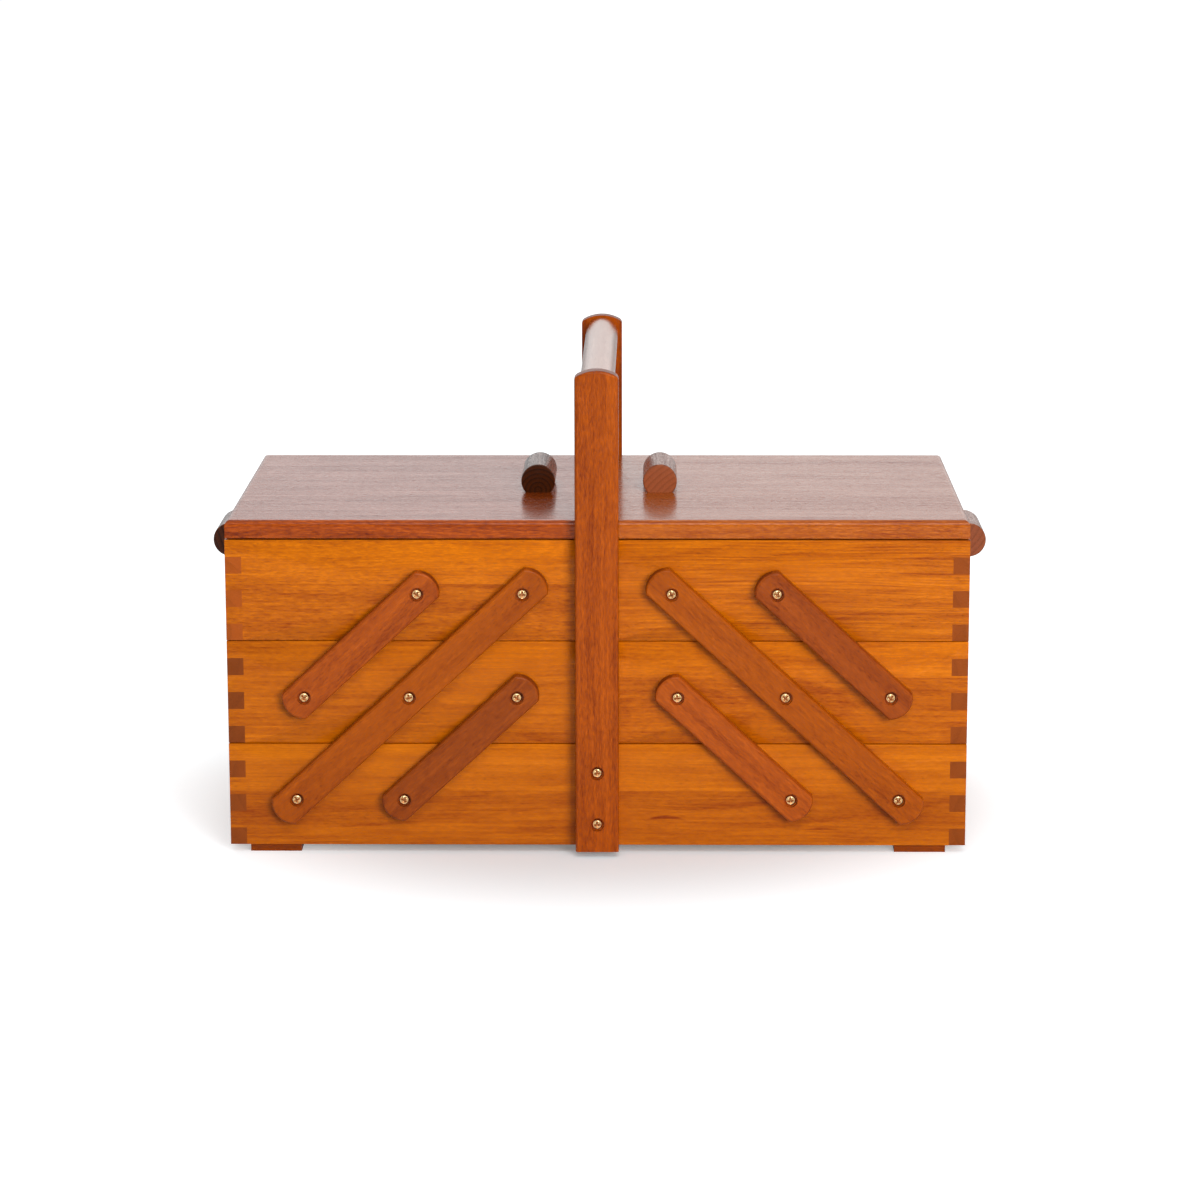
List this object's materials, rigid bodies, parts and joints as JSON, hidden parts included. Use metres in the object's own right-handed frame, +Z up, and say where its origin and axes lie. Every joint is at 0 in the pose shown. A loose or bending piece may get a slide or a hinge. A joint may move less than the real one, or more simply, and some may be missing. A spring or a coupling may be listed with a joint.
{
  "type": "cantilever sewing box",
  "caption": "Wooden sewing box with finger-jointed trays that swing out on crossed arms, hinged lids with half-round knobs, and a carrying handle on two posts.",
  "frame": {"origin": "on the floor under the middle of the closed box", "axes": "+X along the box's width to the viewer's right, -Y out of the front, +Z up"},
  "size_m": [0.3884, 0.2088, 0.24],
  "materials": {
    "tray_wood": "gloss varnish",
    "long_arm_wood": "gloss varnish",
    "short_arm_wood": "gloss varnish",
    "lid_wood": "gloss varnish",
    "handle_wood": "gloss varnish",
    "grip_wood": "gloss varnish",
    "plywood": "smooth bare wood",
    "foot_wood": "gloss varnish",
    "brass": "polished"
  },
  "bodies": {
    "base_and_handle": {"base_front_board": "tray_wood", "base_back_board": "tray_wood", "base_left_end": "tray_wood", "base_right_end": "tray_wood", "base_bottom_panel": "plywood", "feet": "foot_wood", "handle_front_post": "handle_wood", "handle_back_post": "handle_wood", "handle_grip_rod": "handle_wood", "base_screws": "brass"},
    "left_long_arms": {"left_long_arm_front": "long_arm_wood", "left_long_arm_back": "long_arm_wood"},
    "left_lower_arms": {"left_lower_arm_front": "short_arm_wood", "left_lower_arm_back": "short_arm_wood"},
    "left_upper_arms": {"left_upper_arm_front": "short_arm_wood", "left_upper_arm_back": "short_arm_wood"},
    "left_middle_tray": {"left_middle_front_board": "tray_wood", "left_middle_back_board": "tray_wood", "left_middle_outer_end": "tray_wood", "left_middle_inner_end": "tray_wood", "left_middle_bottom_panel": "plywood", "left_middle_divider": "plywood", "left_middle_pivot_screws": "brass"},
    "left_top_tray": {"left_top_front_board": "tray_wood", "left_top_back_board": "tray_wood", "left_top_outer_end": "tray_wood", "left_top_inner_end": "tray_wood", "left_top_bottom_panel": "plywood", "left_top_divider": "plywood", "left_top_pivot_screws": "brass", "left_side_pull": "grip_wood", "left_lid_hinges_fixed": "brass"},
    "left_lid_panel": {"left_lid": "lid_wood", "left_lid_knob": "grip_wood", "left_lid_hinges_moving": "brass"},
    "right_long_arms": {"right_long_arm_front": "long_arm_wood", "right_long_arm_back": "long_arm_wood"},
    "right_lower_arms": {"right_lower_arm_front": "short_arm_wood", "right_lower_arm_back": "short_arm_wood"},
    "right_upper_arms": {"right_upper_arm_front": "short_arm_wood", "right_upper_arm_back": "short_arm_wood"},
    "right_middle_tray": {"right_middle_front_board": "tray_wood", "right_middle_back_board": "tray_wood", "right_middle_outer_end": "tray_wood", "right_middle_inner_end": "tray_wood", "right_middle_bottom_panel": "plywood", "right_middle_divider": "plywood", "right_middle_pivot_screws": "brass"},
    "right_top_tray": {"right_top_front_board": "tray_wood", "right_top_back_board": "tray_wood", "right_top_outer_end": "tray_wood", "right_top_inner_end": "tray_wood", "right_top_bottom_panel": "plywood", "right_top_divider": "plywood", "right_top_pivot_screws": "brass", "right_side_pull": "grip_wood", "right_lid_hinges_fixed": "brass"},
    "right_lid_panel": {"right_lid": "lid_wood", "right_lid_knob": "grip_wood", "right_lid_hinges_moving": "brass"}
  },
  "joints": [
    {"name": "left_open", "type": "hinge", "parent": "base_and_handle", "child": "left_long_arms", "pos_m": [-0.1466, 0, 0.0284], "axis": [0, -1, 0], "range_deg": [0, 94]},
    {"name": "left_middle_level", "type": "hinge", "parent": "left_long_arms", "child": "left_middle_tray", "pos_m": [-0.0913, 0, 0.0796], "axis": [0, -1, 0], "range_deg": [-94, 0]},
    {"name": "left_top_level", "type": "hinge", "parent": "left_long_arms", "child": "left_top_tray", "pos_m": [-0.036, 0, 0.1308], "axis": [0, -1, 0], "range_deg": [-94, 0]},
    {"name": "left_lower_swing", "type": "hinge", "parent": "base_and_handle", "child": "left_lower_arms", "pos_m": [-0.0942, 0, 0.0284], "axis": [0, -1, 0], "range_deg": [0, 94]},
    {"name": "left_upper_swing", "type": "hinge", "parent": "left_middle_tray", "child": "left_upper_arms", "pos_m": [-0.14225, 0, 0.0796], "axis": [0, -1, 0], "range_deg": [0, 94]},
    {"name": "left_lid_hinge", "type": "hinge", "parent": "left_top_tray", "child": "left_lid_panel", "pos_m": [-0.1813, 0, 0.15665], "axis": [0, -1, 0], "range_deg": [0, 105]},
    {"name": "right_open", "type": "hinge", "parent": "base_and_handle", "child": "right_long_arms", "pos_m": [0.1466, 0, 0.0284], "axis": [0, 1, 0], "range_deg": [0, 94]},
    {"name": "right_middle_level", "type": "hinge", "parent": "right_long_arms", "child": "right_middle_tray", "pos_m": [0.0913, 0, 0.0796], "axis": [0, 1, 0], "range_deg": [-94, 0]},
    {"name": "right_top_level", "type": "hinge", "parent": "right_long_arms", "child": "right_top_tray", "pos_m": [0.036, 0, 0.1308], "axis": [0, 1, 0], "range_deg": [-94, 0]},
    {"name": "right_lower_swing", "type": "hinge", "parent": "base_and_handle", "child": "right_lower_arms", "pos_m": [0.0942, 0, 0.0284], "axis": [0, 1, 0], "range_deg": [0, 94]},
    {"name": "right_upper_swing", "type": "hinge", "parent": "right_middle_tray", "child": "right_upper_arms", "pos_m": [0.14225, 0, 0.0796], "axis": [0, 1, 0], "range_deg": [0, 94]},
    {"name": "right_lid_hinge", "type": "hinge", "parent": "right_top_tray", "child": "right_lid_panel", "pos_m": [0.1813, 0, 0.15665], "axis": [0, 1, 0], "range_deg": [0, 105]}
  ],
  "couplings": [
    {"joint": "left_middle_level", "follows": "left_open", "ratio": -1},
    {"joint": "left_top_level", "follows": "left_open", "ratio": -1},
    {"joint": "left_lower_swing", "follows": "left_open", "ratio": 1},
    {"joint": "left_upper_swing", "follows": "left_open", "ratio": 1},
    {"joint": "right_middle_level", "follows": "right_open", "ratio": -1},
    {"joint": "right_top_level", "follows": "right_open", "ratio": -1},
    {"joint": "right_lower_swing", "follows": "right_open", "ratio": 1},
    {"joint": "right_upper_swing", "follows": "right_open", "ratio": 1}
  ]
}
